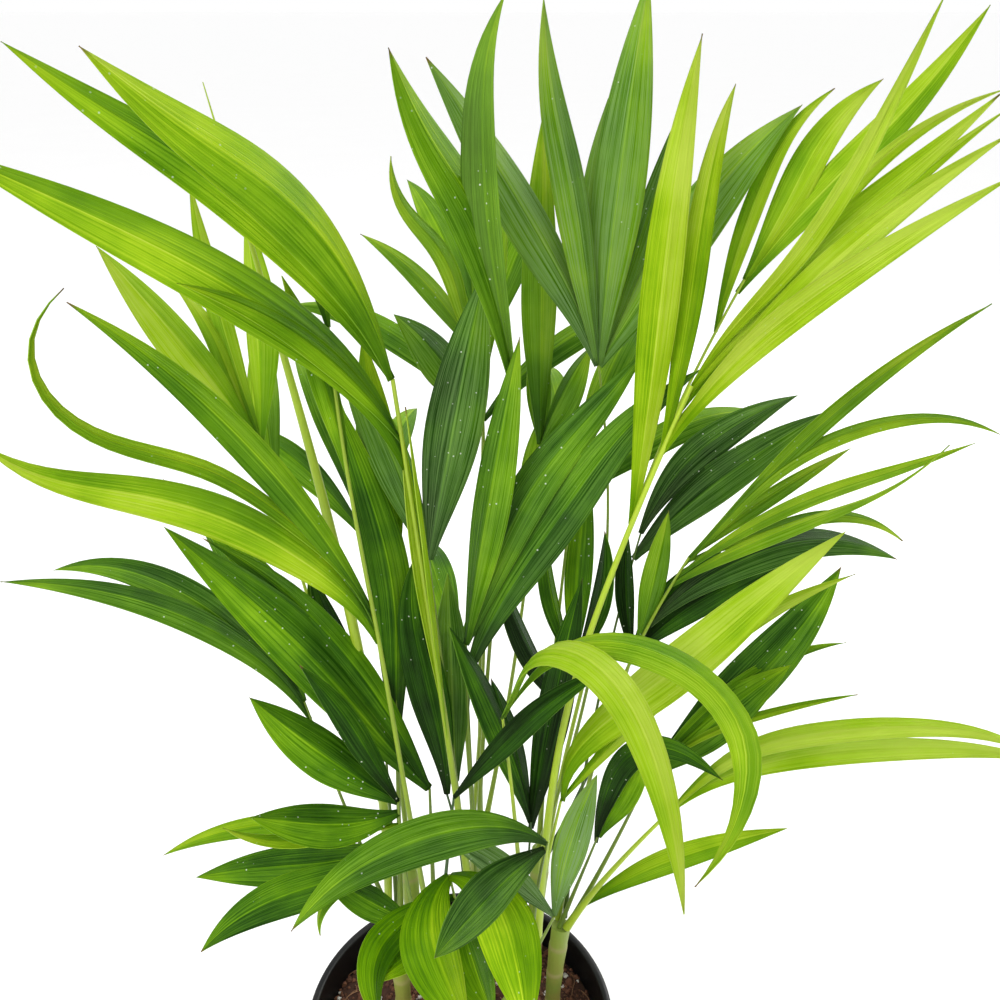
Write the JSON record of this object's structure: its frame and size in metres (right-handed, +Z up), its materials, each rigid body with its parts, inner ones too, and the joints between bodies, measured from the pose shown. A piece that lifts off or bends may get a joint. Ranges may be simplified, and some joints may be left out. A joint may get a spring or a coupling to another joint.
{
  "type": "potted palm",
  "caption": "Young areca palm clump with slim green canes and feather leaves, growing in soil in a round black nursery pot.",
  "frame": {"origin": "middle of the pot's flat base", "axes": "+Z up along the pot's axis, -Y towards the plant's front"},
  "size_m": [0.4845, 0.3419, 0.6629],
  "materials": {
    "pot_black_plastic": "satin, thin moulded black plastic",
    "potting_soil": "rough, loose peat and coir with white perlite",
    "cane_green": "satin yellow-green stem",
    "leaf_green": "satin green leaf with parallel veins"
  },
  "bodies": {
    "root": {"pot": "pot_black_plastic", "soil": "potting_soil", "cane_left": "cane_green", "cane_front_left": "cane_green", "cane_front": "cane_green", "cane_centre": "cane_green", "cane_front_right": "cane_green", "cane_right": "cane_green", "cane_back_right": "cane_green", "cane_back": "cane_green", "cane_back_left": "cane_green", "leaf_front_tall": "leaf_green", "leaf_left_arching": "leaf_green", "spear_left": "leaf_green", "leaf_left_fan": "leaf_green", "leaf_front_hanging": "leaf_green", "leaf_back_left_upper": "leaf_green", "leaf_back_tall": "leaf_green", "leaf_back_centre": "leaf_green", "leaf_top": "leaf_green", "leaf_centre_narrow": "leaf_green", "leaf_centre_broad": "leaf_green", "leaf_centre_pair": "leaf_green", "leaf_right_tall": "leaf_green", "leaf_right_behind": "leaf_green", "leaf_right_dark": "leaf_green", "leaf_right_long": "leaf_green", "leaf_front_lime": "leaf_green", "leaf_right_broad": "leaf_green", "leaf_front_arching": "leaf_green", "leaf_low_right": "leaf_green", "leaf_left_low": "leaf_green", "leaf_left_broad": "leaf_green", "leaf_left_upright": "leaf_green", "leaf_front_low": "leaf_green", "leaf_rear_tall": "leaf_green", "leaf_rear_left": "leaf_green", "leaf_rear_right": "leaf_green", "leaf_rear_low": "leaf_green", "leaf_middle_dark": "leaf_green", "leaf_middle_long": "leaf_green", "leaf_centre_upright": "leaf_green", "leaf_centre_low": "leaf_green", "leaf_right_inner": "leaf_green", "leaf_right_low": "leaf_green", "leaf_front_under": "leaf_green", "leaf_left_inner": "leaf_green"}
  },
  "joints": []
}
